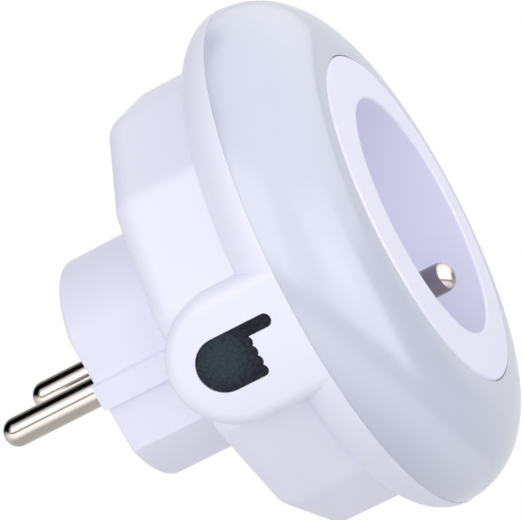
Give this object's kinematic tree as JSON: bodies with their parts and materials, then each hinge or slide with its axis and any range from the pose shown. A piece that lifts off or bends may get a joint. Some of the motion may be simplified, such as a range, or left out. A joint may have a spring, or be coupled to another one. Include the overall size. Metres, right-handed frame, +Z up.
{
  "type": "plug in night light",
  "caption": "Plug-in ring night light with a through socket: two round pins, earth contact, safety shutter and a hand sensor window.",
  "frame": {"origin": "on the plug's axis, on the rear face of the boss and its insert, which lies on the floor of the wall socket's well", "axes": "+Y along the plug pins, into the wall; +Z up, towards the earth pin; +X to the right seen from the front"},
  "size_m": [0.0842, 0.0731, 0.0842],
  "materials": {
    "white_housing": "satin moulded",
    "white_cover": "satin moulded",
    "opal_diffuser": "opal, glossy",
    "smoked_window": "dark smoked, glossy",
    "nickel_pin": "nickel-plated brass",
    "brass_strip": "stamped strip",
    "spring_bronze": "spring bronze",
    "grey_insulator": "moulded",
    "shutter_plastic": "moulded",
    "spring_steel": "drawn wire",
    "white_reflector": "white",
    "white_board": "solder mask",
    "led_body": "phosphor",
    "green_board": "solder mask",
    "yellow_capacitor": "moulded box",
    "black_can": "sleeved can",
    "black_epoxy": "moulded epoxy",
    "resistor_body": "lacquered",
    "clear_epoxy": "clear",
    "dark_epoxy": "dark clear",
    "zinc_screw": "zinc-plated",
    "brown_lead": "PVC",
    "blue_lead": "PVC",
    "red_lead": "PVC",
    "black_lead": "PVC",
    "grey_lead": "PVC"
  },
  "bodies": {
    "housing": {"rear_housing": "white_housing", "plug_boss": "white_housing", "plug_insert": "white_housing", "front_cover": "white_cover", "diffuser_ring": "opal_diffuser", "sensor_window": "smoked_window", "plug_pin_left": "nickel_pin", "plug_pin_right": "nickel_pin", "earth_pin": "nickel_pin", "earth_strap": "brass_strip", "earth_contact": "brass_strip", "live_strap": "brass_strip", "neutral_strap": "brass_strip", "socket_contact_left": "spring_bronze", "socket_contact_right": "spring_bronze", "contact_carrier": "grey_insulator", "shutter_spring": "spring_steel", "reflector_ring": "white_reflector", "led_board": "white_board", "led_chips": "led_body", "driver_board": "green_board", "dropper_capacitor": "yellow_capacitor", "smoothing_capacitor": "black_can", "bridge_rectifier": "black_epoxy", "control_chip": "black_epoxy", "fusible_resistor": "resistor_body", "chip_resistors": "black_epoxy", "sensor_board": "green_board", "infrared_emitter": "clear_epoxy", "infrared_receiver": "dark_epoxy", "case_screws": "zinc_screw", "carrier_screws": "zinc_screw", "board_screws": "zinc_screw", "sensor_screws": "zinc_screw", "live_lead": "brown_lead", "neutral_lead": "blue_lead", "led_lead_positive": "red_lead", "led_lead_negative": "black_lead", "sensor_leads": "grey_lead"},
    "shutter": {"shutter": "shutter_plastic"}
  },
  "joints": [
    {"name": "shutter_slide", "type": "slide", "parent": "housing", "child": "shutter", "axis": [0, 0, -1], "range_m": [0, 0.0062], "stiffness_N_per_m": 60, "springref_m": -0.004, "deforming": ["shutter_spring"]}
  ]
}
